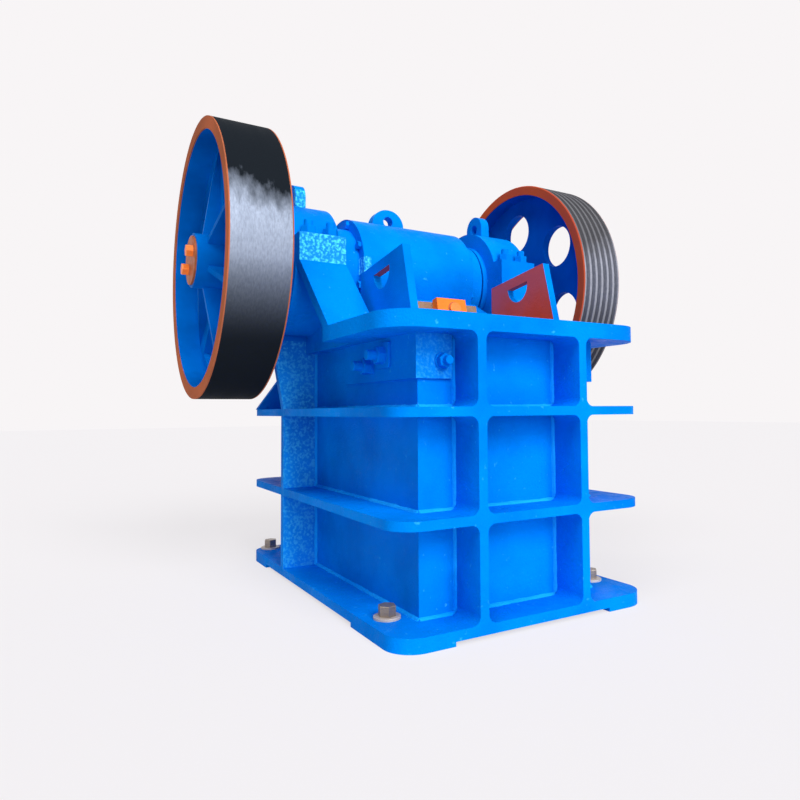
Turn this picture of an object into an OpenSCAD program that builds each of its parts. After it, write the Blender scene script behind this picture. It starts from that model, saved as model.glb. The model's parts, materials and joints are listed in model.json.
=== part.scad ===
// Single-toggle jaw crusher: a ribbed box frame on four feet, a swing jaw hung on an
// eccentric shaft between two split bearings, a flywheel at -X and a grooved pulley at +X.
// The feed side faces -Y, +Z is up, and the origin is on the ground, at the centre of the
// four foundation bolt holes.

/* [Frame] */
// Width over the base flange and the bands, along the shaft
frame_w = 1016; // [980:4:1056]
// Length over the base flange and the bands, front to rear
frame_l = 1528; // [1496:4:1568]
// Height from the ground to the top of the top flange
frame_h = 1000; // [970:5:1040]
// Width over the outside of the two side walls
box_w = 723; // [709:2:737]
// How far the flanges stand out from the front wall
front_overhang = 141; // [120:3:150]
// How far the flanges stand out from the rear wall
rear_overhang = 60; // [48:2:66]
// Thickness of each side wall
side_wall_t = 35; // [30:1:38]
// Thickness of the front wall
front_wall_t = 45; // [36:1:50]
// Thickness of the rear wall
rear_wall_t = 40; // [30:1:50]
// How far the rear wall stops below the top of the frame
rear_drop = 140; // [100:5:200]

/* [Flanges and ribs] */
// Height of the four foot pads under the base flange
pad_h = 14; // [10:1:20]
// Length of the front foot pads along the side of the base flange
front_pad_l = 334; // [300:5:380]
// Length of the rear foot pads along the side of the base flange
rear_pad_l = 242; // [200:2:280]
// Length of each foot pad along the end of the base flange
pad_w = 194; // [180:5:230]
// Thickness of the base flange
base_t = 32; // [26:1:40]
// Height of the underside of the lower band
lower_band_z = 348; // [330:2:370]
// Height of the underside of the upper band
upper_band_z = 680; // [660:2:700]
// Thickness of the two bands
band_t = 30; // [24:1:36]
// Thickness of the top flange
top_t = 54; // [44:2:60]
// How far each side of the top flange stands out past the bands
top_lip = 17; // [9:1:25]
// Length of the top flange, from its front edge back to its two ends
wing_l = 487; // [470:3:500]
// Corner radius of the base flange and the bands
band_r = 95; // [60:5:115]
// Corner radius of the top flange
top_r = 130; // [100:5:145]
// Thickness of the two front ribs
front_rib_t = 32; // [26:1:40]
// Distance from the outside of a side wall in to the centre of the nearest front rib
rib_inset = 152; // [140:2:166]
// Radius of the rounded corners between a front rib and the flanges
rib_fillet = 28; // [16:2:36]
// Thickness of the side ribs
side_rib_t = 32; // [26:1:40]
// Distance from the shaft axis back to the side ribs
side_rib_set = 46; // [30:2:60]
// Height of the rear gussets above the upper band
gusset_h = 200; // [160:5:220]
// Thickness of the pads around the top corners of the box
corner_pad_t = 12; // [8:1:16]
// Gap between the corner pads and the upper band
corner_pad_gap = 91; // [70:3:110]
// Width of the corner pads along the front wall
corner_pad_w = 123; // [108:3:130]
// Length of the corner pads along the side wall
corner_pad_l = 556; // [520:4:590]

/* [Foundation] */
// Distance from each side of the base flange to the foundation bolt holes
bolt_side = 75.5; // [70:0.5:82]
// Distance from the front edge of the base flange to the front holes
bolt_front = 220; // [206:2:234]
// Distance from the rear edge of the base flange to the rear holes
bolt_rear = 56; // [48:1:64]
// Diameter of a foundation bolt hole
bolt_hole_d = 44; // [36:1:48]

/* [Shaft and bearings] */
// Height of the shaft above the top of the frame
shaft_rise = 290; // [288:1:310]
// Distance from the front edge of the frame back to the shaft
shaft_back = 993; // [981:3:1005]
// Diameter of the shaft in the bearings
journal_d = 160; // [146:2:174]
// Diameter of the shaft in the wheel hubs
wheel_seat_d = 140; // [120:2:144]
// Diameter of the eccentric part inside the swing jaw
eccentric_d = 210; // [200:2:220]
// Distance from the shaft axis to the axis of the eccentric part
throw = 12; // [6:1:16]
// Gap around a part that turns on or in another
running_gap = 0.5; // [0.3:0.1:1]
// Outer diameter of the bearings
bearing_d = 320; // [306:2:334]
// Gap between the outside of a side wall and the bearing housing above it
housing_set = 14; // [10:1:20]
// Width of a bearing housing along the shaft
housing_w = 187; // [180:1:194]
// Radius of the lower half of a bearing housing
seat_r = 270; // [266:1:276]
// Radius of a bearing cap
cap_r = 265; // [256:1:266]
// Height of the ears of a bearing cap
ear_h = 86; // [76:2:100]
// Depth of the ears of a bearing seat below the shaft axis
ear_drop = 21; // [16:1:30]
// Distance from the shaft axis to the end of the ears, front and rear
ear_reach = 312; // [302:2:322]
// How far the feet of the sloping plates reach in over the top of the side wall
seat_lap = 25; // [10:1:30]
// Thickness of the sloping plates under the ears
slope_t = 54; // [46:2:64]
// Thickness of the web between a side wall and a bearing seat
saddle_t = 35; // [30:1:40]
// Thickness of the bearing covers
cover_t = 22; // [18:1:24]
// Diameter of the bearing covers
cover_d = 400; // [386:2:414]
// Thickness of the lifting lugs on the bearing caps
cap_lug_t = 44; // [36:2:56]
// Width of the lifting lugs on the bearing caps
cap_lug_w = 128; // [116:2:140]
// Distance from the shaft axis back to the middle of the cap lugs
cap_lug_back = 12; // [0:2:24]
// Height of the lifting lugs above the axis of the shaft
cap_lug_top = 368; // [356:2:380]
// Diameter of the hole in the lifting lugs on the bearing caps
cap_lug_hole_d = 50; // [40:2:56]

/* [Wheels] */
// Diameter of the flywheel and of the pulley
wheel_d = 1080; // [1060:5:1100]
// Width of the flywheel rim
flywheel_w = 216; // [208:2:224]
// Radial thickness of the flywheel rim
flywheel_rim_t = 46; // [40:1:52]
// Distance from the middle of the machine to the outer face of the flywheel rim
flywheel_out = 875; // [871:2:891]
// Distance from the outer face of the flywheel rim in to its arms
arm_set = 96; // [90:2:104]
// Thickness of the flywheel arms
arm_t = 50; // [44:1:56]
// Number of arms of the flywheel
arm_n = 6; // [5:1:8]
// Angle of the first flywheel arm from straight up, towards the rear
arm_start = 5; // [0:1:30]
// Thickness of the ribs on the flywheel arms
arm_rib_t = 22; // [16:1:28]
// Diameter of the flywheel and pulley hubs
hub_d = 212; // [206:2:226]
// Width of the pulley rim
pulley_w = 215; // [209:2:221]
// Distance from the middle of the machine to the outer face of the pulley rim
pulley_out = 874; // [870:2:890]
// Radial thickness of the pulley rim
pulley_rim_t = 44; // [38:1:50]
// Number of V grooves in the pulley
groove_n = 6; // [4:1:6]
// Distance between two V grooves
groove_pitch = 34; // [32:0.5:36]
// Depth of a V groove
groove_depth = 20; // [16:1:24]
// Width of a V groove at its mouth
groove_mouth = 22; // [18:1:24]
// Number of round holes in the pulley web
web_hole_n = 6; // [5:1:7]
// Diameter of a round hole in the pulley web
web_hole_d = 196; // [180:2:200]
// Distance from the axis to the centre of a round hole in the web
web_hole_at = 333; // [325:1:341]
// Angle of the first round hole from straight up, towards the rear
web_hole_start = 7; // [0:1:30]
// Thickness of the pulley web
web_t = 36; // [30:1:42]
// Distance from the outer face of the pulley rim in to its web
web_set = 100; // [90:2:110]

/* [Swing jaw] */
// Diameter of the barrel of the swing jaw
barrel_d = 489; // [477:2:501]
// Length of the end rings of the barrel along the shaft
ring_l = 78; // [70:1:86]
// Diameter of the end rings of the barrel
ring_d = 400; // [380:4:420]
// Gap between the end rings of the barrel and the bearing covers
ring_gap = 9; // [7:0.5:12]
// Gap between the swing jaw and each cheek plate
jaw_gap = 10; // [6:0.5:12]
// Distance from the shaft axis forward to the top of the swing jaw face
face_top = 477; // [467:2:487]
// Distance from the shaft axis forward to the bottom of the swing jaw face
face_low = 683; // [663:2:693]
// Height of the bottom of the swing jaw above the ground
jaw_low_z = 150; // [140:2:164]
// Height of the top of the swing jaw face above the top of the frame
jaw_rise = 80; // [70:2:90]
// Thickness of the jaw plates, teeth included
jaw_plate_t = 60; // [52:1:64]
// Depth of the teeth of the jaw plates
tooth_depth = 18; // [12:1:24]
// Number of teeth across each jaw plate
tooth_n = 12; // [8:1:14]
// Width of the middle part of the jaw plate that stands above its top
tab_w = 280; // [250:4:300]
// Height of that middle part
tab_h = 50; // [40:1:56]
// Width of the clamp block of the jaw plate
clamp_w = 134; // [116:2:150]
// Height of the clamp block
clamp_h = 58; // [52:1:66]
// Depth of the clamp block, front to rear
clamp_d = 34; // [28:1:38]
// Width of the lifting lug on the barrel
barrel_lug_w = 162; // [156:2:172]
// Distance from the shaft axis back to the lug on the barrel
barrel_lug_back = 97; // [87:2:107]
// Height of the top of the barrel lug above the shaft axis
barrel_lug_top = 354; // [344:2:364]
// Corner radius at the top of the barrel lug
barrel_lug_r = 77; // [60:1:78]
// Thickness of the lifting lug on the barrel
barrel_lug_t = 50; // [40:2:60]
// Diameter of the hole in the barrel lug
barrel_lug_hole_d = 48; // [42:2:54]

/* [Chamber and toggle] */
// Thickness of each cheek plate
cheek_t = 30; // [26:1:34]
// Height of the front top corner of a cheek plate above the top of the frame
cheek_rise = 274; // [264:2:284]
// How much lower the rear top corner of a cheek plate is than the front one
cheek_fall = 44; // [34:2:54]
// Distance from the shaft axis forward to the rear edge of a cheek plate
cheek_rear = 342; // [332:2:352]
// Diameter of the D-shaped lifting hole in a cheek plate
cheek_hole_d = 131; // [119:2:141]
// Thickness of the toggle plate at its rounded ends
toggle_t = 45; // [38:1:52]
// Width of the toggle plate along the shaft
toggle_w = 420; // [380:5:460]
// Diameter of the tension rod
rod_d = 40; // [34:1:44]
// Height of the tension rod above the ground
rod_z = 190; // [184:1:196]
// Outer diameter of the tension spring
spring_d = 96; // [88:2:102]
// Length of the tension spring
spring_l = 160; // [140:4:180]
// Diameter of the wire of the tension spring
spring_wire_d = 15; // [12:1:16]
// Number of turns of the tension spring
spring_turns = 6; // [5:1:8]

/* [Hidden] */

$fn = 96;
blue = [0.0, 0.45, 0.9];
primer = [0.62, 0.2, 0.12];
orange = [1.0, 0.45, 0.12];
steel = [0.35, 0.35, 0.37];
dark_steel = [0.16, 0.16, 0.18];
rust = [0.4, 0.26, 0.18];

// How far a cutting shape reaches past the part that it cuts
cut = 50;

// The foundation bolts and the box, front to rear
bolt_pitch_x = frame_w - 2 * bolt_side;
bolt_pitch_y = frame_l - bolt_front - bolt_rear;
front_y = -(bolt_pitch_y / 2 + bolt_front);
rear_y = front_y + frame_l;
shaft_y = front_y + shaft_back;
shaft_z = frame_h + shaft_rise;
wing_y = front_y + wing_l;
wall_front_y = front_y + front_overhang;
wall_rear_y = rear_y - rear_overhang;
chamber_front_y = wall_front_y + front_wall_t;
chamber_w = box_w - 2 * side_wall_t;
top_w = frame_w + 2 * top_lip;

// The storeys between the flanges
deck_z = frame_h - top_t;
base_top_z = pad_h + base_t;
lower_top_z = lower_band_z + band_t;
upper_top_z = upper_band_z + band_t;
low_storey = [base_top_z, lower_band_z];
mid_storey = [lower_top_z, upper_band_z];
top_storey = [upper_top_z, deck_z];
front_rib_x = box_w / 2 - rib_inset;

// Bearing housings
housing_in = box_w / 2 + housing_set;
housing_out = housing_in + housing_w;
housing_mid = housing_in + housing_w / 2;
ear_low_z = shaft_z - ear_drop;
cap_lug_y = shaft_y + cap_lug_back;
cap_lug_r = cap_lug_w / 2;
cap_lug_hole_z = shaft_z + cap_lug_top - cap_lug_r;

// Wheels
end_plate_t = 8;
end_plate_d = 190;
hub_gap = 30;
hub_stand_out = 13;
hub_in = housing_out + cover_t + hub_gap;
flywheel_hub_out = flywheel_out + hub_stand_out;
pulley_hub_out = pulley_out + hub_stand_out;
rim_chamfer = 4;
// Gap between a window of the flywheel and the hub, and between a window and the rim
window_hub_gap = 24;
window_rim_gap = 34;
// Share of the space between two arms that a window takes, at the hub and at the rim
window_hub_share = 0.52;
window_rim_share = 0.62;
// How far an arm rib stops inside the rim's face, and its shape along the arm
arm_rib_inset = 24;
arm_rib_bite = 6;
arm_rib_low = 0.4;
arm_rib_turn = 0.72;
// Share of its mouth width that a V groove has at its bottom
groove_floor = 0.55;

// Swing jaw
jaw_w = chamber_w - 2 * cheek_t - 2 * jaw_gap;
ring_out = housing_in - cover_t - ring_gap;
barrel_l = 2 * (ring_out - ring_l);
ring_bore_gap = 22;
eccentric_inset = 20;
jaw_bore_d = eccentric_d + 2 * throw + 2 * running_gap;
jaw_top_z = frame_h + jaw_rise;
face_lean = atan2(face_low - face_top, jaw_top_z - jaw_low_z);
face_l = norm([face_low - face_top, jaw_top_z - jaw_low_z]);
face_top_y = shaft_y - face_top;
face_low_y = shaft_y - face_low;
// Gap behind the jaw plate
plate_gap = 0.1;
back_top_y = face_top_y + (jaw_plate_t + plate_gap) / cos(face_lean);
back_low_y = face_low_y + (jaw_plate_t + plate_gap) / cos(face_lean);
plate_low = 26;
nose_depth = 220;
nose_chamfer = 20;
nose_top = 45;
nose_run = 65;
nose_y = back_low_y + nose_depth;
toggle_low = 112;
toggle_low_z = jaw_low_z + toggle_low;
// The back of the jaw: where it leaves the barrel, and its waist under the barrel
hip_back = 90;
waist_ahead = 110;
waist_drop = 180;
// The shoulder between the top of the plate and the barrel
shoulder_back = 30;
shoulder_rise = 10;
barrel_lug_y = shaft_y + barrel_lug_back;
barrel_lug_hole_drop = 56;
barrel_lug_hole_z = shaft_z + barrel_lug_top - barrel_lug_hole_drop;
// Clearance between the clamp block and the top of the jaw
clamp_gap = 0.5;

// Cheek plates
cheek_low = 150;
cheek_gap = 2;
cheek_top_z = frame_h + cheek_rise;
cheek_rear_z = cheek_top_z - cheek_fall;
cheek_rear_y = shaft_y - cheek_rear;
cheek_front_low = 50;
cheek_front_top = 120;
cheek_back_low = 140;
cheek_knee = 140;
fixed_plate_low = 120;
fixed_plate_rise = 30;
cheek_slope = atan2(cheek_fall, cheek_rear_y - chamber_front_y - cheek_front_top);
cheek_hole_ahead = 181;
cheek_hole_drop = 44;
cheek_hole_flat = 3;
cheek_hole_y = cheek_rear_y - cheek_hole_ahead;
cheek_hole_z = cheek_rear_z - cheek_hole_drop
    + cheek_hole_ahead * tan(cheek_slope);

// Toggle, its seat and the block behind it
toggle_high_z = 350;
toggle_waist = 0.76;
seat_side = 20;
seat_h = 120;
seat_l = 100;
block_l = 150;
block_low = 90;
block_high = 110;
toggle_rear_y = wall_rear_y - rear_wall_t - block_l - seat_l;
seat_play = 0.6;
nose_play = 8;

// Tension rod and spring
tube_l = 96;
tube_wall = 12;
tube_gap = 20;
tube_bore_d = spring_d + 2 * tube_gap;
spring_start = 31;
washer_t = 18;
washer_rim = 4;
washer_play = 0.3;
rod_past_washer = 32;
spring_front_y = wall_rear_y + spring_start;
washer_y = spring_front_y + spring_l + washer_play;
rod_end_y = washer_y + washer_t + rod_past_washer;

// A rectangle with rounded front corners and square rear corners, or all four rounded.
module plate_outline(w, y0, y1, r, round_rear = true) {
    translate([-w / 2 + r, y0]) square([w - 2 * r, y1 - y0]);
    translate([-w / 2, y0 + r]) square([w, y1 - y0 - (round_rear ? 2 : 1) * r]);
    for (s = [-1, 1]) {
        translate([s * (w / 2 - r), y0 + r]) circle(r);
        if (round_rear) translate([s * (w / 2 - r), y1 - r]) circle(r);
    }
}

// Extrudes an outline drawn in Y and Z along X, from x0 to x1.
module along_x(x0, x1) {
    translate([x0, 0, 0]) rotate([90, 0, 90]) linear_extrude(x1 - x0) children();
}

// Extrudes an outline drawn in X and Z along Y, from y0 to y1.
module along_y(y0, y1) {
    translate([0, y1, 0]) rotate([90, 0, 0]) linear_extrude(y1 - y0) children();
}

// A cylinder on the shaft axis, from x0 to x1.
module on_shaft(x0, x1, d) {
    translate([x0, shaft_y, shaft_z]) rotate([0, 90, 0]) cylinder(h = x1 - x0, d = d);
}

// The right-hand copy as drawn, or its mirror image on the left.
module side(right) {
    if (right) children();
    else mirror([1, 0, 0]) children();
}

module foundation_holes() {
    for (x = [-1, 1], y = [-1, 1])
        translate([x * bolt_pitch_x / 2, y * bolt_pitch_y / 2, -cut])
            cylinder(h = base_top_z + 2 * cut, d = bolt_hole_d);
}

module flange_ring(z, t) {
    translate([0, 0, z]) linear_extrude(t) difference() {
        plate_outline(frame_w, front_y, rear_y, band_r);
        translate([-box_w / 2, wall_front_y]) square([box_w, wall_rear_y - wall_front_y]);
    }
}

module base_flange() {
    color(blue) difference() {
        union() {
            flange_ring(pad_h, base_t);
            intersection() {
                flange_ring(0, pad_h);
                for (x = [-frame_w / 2, frame_w / 2 - pad_w]) {
                    translate([x, front_y, 0]) cube([pad_w, front_pad_l, pad_h]);
                    translate([x, rear_y - rear_pad_l, 0]) cube([pad_w, rear_pad_l, pad_h]);
                }
            }
        }
        foundation_holes();
    }
}

module lower_band() {
    color(blue) flange_ring(lower_band_z, band_t);
}

module upper_band() {
    color(blue) flange_ring(upper_band_z, band_t);
}

module top_flange() {
    color(blue) translate([0, 0, deck_z]) linear_extrude(top_t) difference() {
        plate_outline(top_w, front_y, wing_y, top_r, false);
        translate([-chamber_w / 2, chamber_front_y])
            square([chamber_w, wing_y - chamber_front_y + cut]);
    }
}

module front_wall() {
    color(blue) translate([-box_w / 2, wall_front_y, pad_h])
        cube([box_w, front_wall_t, deck_z - pad_h]);
}

module rear_wall() {
    color(blue) difference() {
        translate([-chamber_w / 2, wall_rear_y - rear_wall_t, pad_h])
            cube([chamber_w, rear_wall_t, frame_h - rear_drop - pad_h]);
        translate([0, wall_rear_y, rod_z]) rotate([90, 0, 0])
            cylinder(h = 2 * (rear_wall_t + cut), d = tube_bore_d, center = true);
    }
}

module side_wall(right) {
    color(blue) side(right) along_x(chamber_w / 2, box_w / 2) polygon([
        [chamber_front_y, pad_h], [wall_rear_y, pad_h], [wall_rear_y, frame_h],
        [wing_y, frame_h], [wing_y, deck_z], [chamber_front_y, deck_z]
    ]);
}

// The rounded corner between the side of a rib at the origin and the flange below it.
module rib_corner() {
    difference() {
        square(rib_fillet);
        translate([rib_fillet, rib_fillet]) circle(rib_fillet);
    }
}

// A rib in each storey of the front or the rear, between two flanges; its rounded corners
// end at corner_y1.
module end_rib(x, y0, y1, corner_y1, storeys) {
    for (s = storeys) translate([x, 0, 0]) {
        translate([-front_rib_t / 2, y0, s[0]]) cube([front_rib_t, y1 - y0, s[1] - s[0]]);
        along_y(y0, corner_y1) for (m = [0, 1]) mirror([m, 0]) translate([front_rib_t / 2, 0]) {
            translate([0, s[0]]) rib_corner();
            translate([0, s[1]]) mirror([0, 1]) rib_corner();
        }
    }
}

module front_ribs() {
    color(blue) for (s = [-1, 1])
        end_rib(s * front_rib_x, front_y, wall_front_y, wall_front_y - corner_pad_t,
            [low_storey, mid_storey, top_storey]);
}

module rear_ribs() {
    color(blue) for (s = [-1, 1])
        end_rib(s * front_rib_x, wall_rear_y, rear_y, rear_y, [low_storey, mid_storey]);
}

module side_ribs(right) {
    rib_y = shaft_y + side_rib_set;
    color(blue) side(right) {
        for (s = [low_storey, mid_storey])
            translate([box_w / 2, rib_y, s[0]])
                cube([(frame_w - box_w) / 2, side_rib_t, s[1] - s[0]]);
        // The flared rib of the top storey, up to the underside of the bearing seat
        difference() {
            along_y(rib_y, rib_y + side_rib_t) polygon([
                [box_w / 2, upper_top_z], [frame_w / 2, upper_top_z],
                [housing_out, shaft_z - seat_r], [housing_out, shaft_z - seat_r / 2],
                [housing_in + saddle_t, shaft_z - seat_r / 2],
                [housing_in + saddle_t, deck_z], [box_w / 2, deck_z]
            ]);
            on_shaft(0, housing_out + cut, 2 * seat_r);
        }
        along_y(wall_rear_y - side_rib_t, wall_rear_y) polygon([
            [box_w / 2, upper_top_z], [frame_w / 2, upper_top_z],
            [box_w / 2, upper_top_z + gusset_h]
        ]);
    }
}

// The thickened band around a top corner of the box, under the top flange.
module corner_pad(right) {
    color(blue) side(right) translate([0, 0, upper_top_z + corner_pad_gap])
        linear_extrude(deck_z - upper_top_z - corner_pad_gap) polygon([
            [box_w / 2 - corner_pad_w, wall_front_y],
            [box_w / 2 - corner_pad_w, wall_front_y - corner_pad_t],
            [box_w / 2 + corner_pad_t, wall_front_y - corner_pad_t],
            [box_w / 2 + corner_pad_t, wall_front_y + corner_pad_l],
            [box_w / 2, wall_front_y + corner_pad_l],
            [box_w / 2, wall_front_y]
        ]);
}

// A sloping plate in Y and Z: its foot at y0 below the deck, its head at y1 under the ears.
module slope_plate(y0, y1, t) {
    polygon([
        [y0, deck_z], [y0, frame_h], [y1, ear_low_z],
        [y1 + t, ear_low_z], [y0 + t, frame_h], [y0 + t, deck_z]
    ]);
}

module bearing_seat(right) {
    color(blue) side(right) difference() {
        union() {
            // Two sloping plates, leaning out from the side wall to the housing
            intersection() {
                along_x(box_w / 2 - seat_lap, housing_out) {
                    slope_plate(wing_y, shaft_y - ear_reach, slope_t);
                    slope_plate(wall_rear_y, shaft_y + ear_reach, -slope_t);
                }
                along_y(wing_y, wall_rear_y) polygon([
                    [box_w / 2, deck_z], [top_w / 2, deck_z], [top_w / 2, frame_h],
                    [housing_out, ear_low_z], [housing_in, ear_low_z],
                    [box_w / 2 - seat_lap, frame_h], [box_w / 2, frame_h]
                ]);
            }
            // The web between the plates
            along_x(box_w / 2, housing_in + saddle_t) polygon([
                [wing_y, deck_z], [wing_y, frame_h], [wall_rear_y, frame_h],
                [wall_rear_y, deck_z]
            ]);
            along_x(housing_in, housing_in + saddle_t) polygon([
                [wing_y, frame_h], [shaft_y - ear_reach, ear_low_z],
                [shaft_y + ear_reach, ear_low_z], [wall_rear_y, frame_h]
            ]);
            intersection() {
                on_shaft(housing_in, housing_out, 2 * seat_r);
                translate([housing_in, shaft_y - seat_r, shaft_z - seat_r])
                    cube([housing_w, 2 * seat_r, seat_r]);
            }
            translate([housing_in, shaft_y - ear_reach, ear_low_z])
                cube([housing_w, 2 * ear_reach, ear_drop]);
        }
        on_shaft(housing_in - cut, housing_out + cut, bearing_d);
    }
}

module bearing_cap(right) {
    lug_x = housing_mid - cap_lug_t / 2;
    color(blue) side(right) difference() {
        union() {
            intersection() {
                on_shaft(housing_in, housing_out, 2 * cap_r);
                translate([housing_in, shaft_y - cap_r, shaft_z])
                    cube([housing_w, 2 * cap_r, cap_r]);
            }
            translate([housing_in, shaft_y - ear_reach, shaft_z])
                cube([housing_w, 2 * ear_reach, ear_h]);
            translate([lug_x, cap_lug_y - cap_lug_r, shaft_z + cap_r / 2])
                cube([cap_lug_t, cap_lug_w, cap_lug_top - cap_r / 2 - cap_lug_r]);
            translate([housing_mid, cap_lug_y, cap_lug_hole_z]) rotate([0, 90, 0])
                cylinder(h = cap_lug_t, d = cap_lug_w, center = true);
        }
        on_shaft(housing_in - cut, housing_out + cut, bearing_d);
        translate([housing_mid, cap_lug_y, cap_lug_hole_z]) rotate([0, 90, 0])
            cylinder(h = cap_lug_t + cut, d = cap_lug_hole_d, center = true);
    }
}

module bearing(right) {
    color(steel) side(right) difference() {
        on_shaft(housing_in, housing_out, bearing_d - running_gap);
        on_shaft(housing_in - cut, housing_out + cut, journal_d + 2 * running_gap);
    }
}

module inner_cover(right) {
    color(blue) side(right) difference() {
        on_shaft(housing_in - cover_t, housing_in, cover_d);
        on_shaft(housing_in - cut, housing_in + cut, journal_d + 2 * running_gap);
    }
}

module outer_cover(right) {
    color(blue) side(right) difference() {
        on_shaft(housing_out, housing_out + cover_t, cover_d);
        on_shaft(housing_out - cut, housing_out + cut, journal_d + 2 * running_gap);
    }
}

module eccentric_shaft() {
    half = barrel_l / 2 - eccentric_inset;
    color(steel) {
        on_shaft(-flywheel_hub_out, -hub_in, wheel_seat_d);
        on_shaft(-hub_in, hub_in, journal_d);
        on_shaft(hub_in, pulley_hub_out, wheel_seat_d);
        translate([0, 0, throw]) on_shaft(-half, half, eccentric_d);
    }
}

// One window of the flywheel between two arms, drawn in the plane of the wheel.
module arm_window(angle) {
    in_r = hub_d / 2 + window_hub_gap;
    out_r = wheel_d / 2 - flywheel_rim_t - window_rim_gap;
    in_half = 180 / arm_n * window_hub_share;
    out_half = 180 / arm_n * window_rim_share;
    rotate(angle) polygon([
        for (a = [-1 : 0.5 : 1]) in_r * [sin(a * in_half), cos(a * in_half)],
        for (a = [1 : -0.25 : -1]) out_r * [sin(a * out_half), cos(a * out_half)]
    ]);
}

// A raised rib along the middle of one arm, from the hub out to the rim.
module arm_rib(angle) {
    reach = wheel_d / 2 - flywheel_rim_t;
    foot = hub_d / 2 - arm_rib_bite;
    rise = arm_set - arm_rib_inset;
    translate([-flywheel_out + arm_set, shaft_y, shaft_z]) rotate([angle, 0, 0])
        translate([0, arm_rib_t / 2, 0]) rotate([90, 0, 0]) linear_extrude(arm_rib_t)
            polygon([
                [0, foot], [-rise, foot], [-rise * arm_rib_low, reach * arm_rib_turn],
                [0, reach]
            ]);
}

module flywheel() {
    in_x = -flywheel_out + flywheel_w;
    color(dark_steel) difference() {
        union() {
            difference() {
                on_shaft(-flywheel_out, in_x, wheel_d);
                on_shaft(-flywheel_out - cut, in_x + cut, wheel_d - 2 * flywheel_rim_t);
            }
            translate([-flywheel_out + arm_set, shaft_y, shaft_z])
                rotate([90, 0, 90]) linear_extrude(arm_t) difference() {
                    circle(d = wheel_d - flywheel_rim_t);
                    for (i = [0 : arm_n - 1])
                        arm_window((i + 0.5) * 360 / arm_n - arm_start);
                }
            on_shaft(-flywheel_hub_out, -hub_in, hub_d);
            for (i = [0 : arm_n - 1]) arm_rib(i * 360 / arm_n - arm_start);
        }
        on_shaft(-flywheel_hub_out - cut, -hub_in + cut, wheel_seat_d);
    }
}

module pulley() {
    in_x = pulley_out - pulley_w;
    web_x = pulley_out - web_set - web_t;
    rim_r = wheel_d / 2;
    half = groove_mouth / 2;
    first = pulley_w / 2 - (groove_n - 1) / 2 * groove_pitch;
    color(steel) difference() {
        union() {
            translate([in_x, shaft_y, shaft_z]) rotate([0, 90, 0]) rotate_extrude()
                polygon([
                    [rim_r - pulley_rim_t, 0], [rim_r - rim_chamfer, 0],
                    [rim_r, rim_chamfer],
                    for (i = [0 : groove_n - 1], p = [
                        [0, -half], [groove_depth, -half * groove_floor],
                        [groove_depth, half * groove_floor], [0, half]
                    ]) [rim_r - p[0], first + i * groove_pitch + p[1]],
                    [rim_r, pulley_w - rim_chamfer], [rim_r - rim_chamfer, pulley_w],
                    [rim_r - pulley_rim_t, pulley_w]
                ]);
            difference() {
                on_shaft(web_x, web_x + web_t, wheel_d - pulley_rim_t);
                for (i = [0 : web_hole_n - 1])
                    translate([web_x, shaft_y, shaft_z])
                        rotate([i * 360 / web_hole_n - web_hole_start, 0, 0])
                            translate([0, 0, web_hole_at]) rotate([0, 90, 0])
                                cylinder(h = 3 * web_t, d = web_hole_d, center = true);
            }
            on_shaft(hub_in, pulley_hub_out, hub_d);
        }
        on_shaft(hub_in - cut, pulley_hub_out + cut, wheel_seat_d);
    }
}

module flywheel_end_plate() {
    color(orange) on_shaft(-flywheel_hub_out - end_plate_t, -flywheel_hub_out, end_plate_d);
}

module pulley_end_plate() {
    color(orange) on_shaft(pulley_hub_out, pulley_hub_out + end_plate_t, end_plate_d);
}

// The lug on top of the barrel, drawn across the machine.
module barrel_lug() {
    low_z = shaft_z + barrel_d / 4;
    top_z = shaft_z + barrel_lug_top;
    half = barrel_lug_w / 2;
    along_y(barrel_lug_y - barrel_lug_t / 2, barrel_lug_y + barrel_lug_t / 2) {
        translate([-half, low_z]) square([2 * half, top_z - barrel_lug_r - low_z]);
        translate([-half + barrel_lug_r, low_z])
            square([2 * (half - barrel_lug_r), top_z - low_z]);
        for (s = [-1, 1])
            translate([s * (half - barrel_lug_r), top_z - barrel_lug_r])
                circle(barrel_lug_r);
    }
}

module swing_jaw() {
    color(blue) difference() {
        union() {
            on_shaft(-barrel_l / 2, barrel_l / 2, barrel_d);
            along_x(-jaw_w / 2, jaw_w / 2) polygon([
                [back_low_y, jaw_low_z], [nose_y - nose_chamfer, jaw_low_z],
                [nose_y, jaw_low_z + nose_chamfer], [nose_y, toggle_low_z + nose_top],
                [nose_y - nose_top, toggle_low_z + nose_top + nose_run],
                [shaft_y - waist_ahead, shaft_z - barrel_d / 2 - waist_drop],
                [shaft_y + hip_back, shaft_z - barrel_d / 2 + nose_chamfer],
                [shaft_y, shaft_z],
                [back_top_y + shoulder_back, jaw_top_z + shoulder_rise],
                [back_top_y, jaw_top_z]
            ]);
            barrel_lug();
        }
        on_shaft(-barrel_l, barrel_l, jaw_bore_d);
        // The sides of the jaw stop short of the end rings
        on_shaft(barrel_l / 2, jaw_w, barrel_d);
        on_shaft(-jaw_w, -barrel_l / 2, barrel_d);
        translate([0, barrel_lug_y, barrel_lug_hole_z]) rotate([90, 0, 0])
            cylinder(h = barrel_lug_t + cut, d = barrel_lug_hole_d, center = true);
        // The groove in the nose that the toggle plate rests in
        translate([0, nose_y, toggle_low_z]) rotate([0, 90, 0])
            cylinder(h = toggle_w + seat_side, d = toggle_t + nose_play, center = true);
    }
}

module jaw_ring(right) {
    color(blue) side(right) difference() {
        on_shaft(barrel_l / 2, ring_out, ring_d);
        on_shaft(barrel_l / 2 - cut, ring_out + cut, journal_d + 2 * ring_bore_gap);
    }
}

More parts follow.
